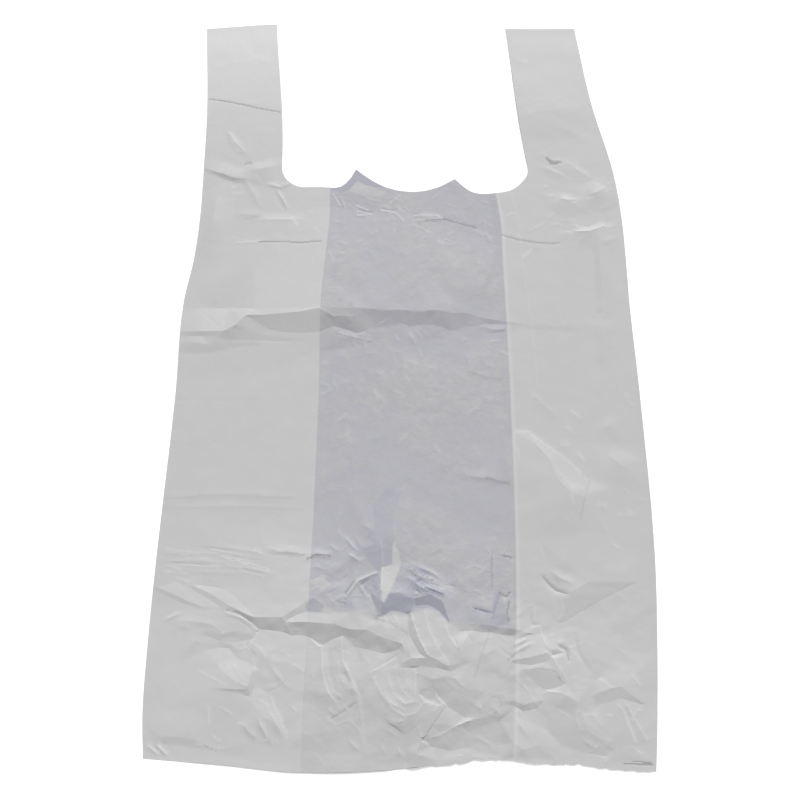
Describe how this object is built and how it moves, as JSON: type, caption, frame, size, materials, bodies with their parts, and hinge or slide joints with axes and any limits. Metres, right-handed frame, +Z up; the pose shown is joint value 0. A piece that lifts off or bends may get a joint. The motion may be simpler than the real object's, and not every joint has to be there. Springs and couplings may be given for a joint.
{
  "type": "plastic carrier bag",
  "caption": "Thin-film carrier bag with two loop handles, folded side gussets and a welded bottom, lying flat with a crumpled lower end; carries shopping.",
  "frame": {"origin": "bottom centre of the bag's box as it lies on a table", "axes": "+Y from the bottom weld to the handle tops, +X across the bag, +Z up out of its front"},
  "size_m": [0.3042, 0.5342, 0.0112],
  "materials": {
    "film": "thin whitish-grey film, half matt, creased"
  },
  "bodies": {
    "root": {"carrier_bag": "film"}
  },
  "joints": []
}
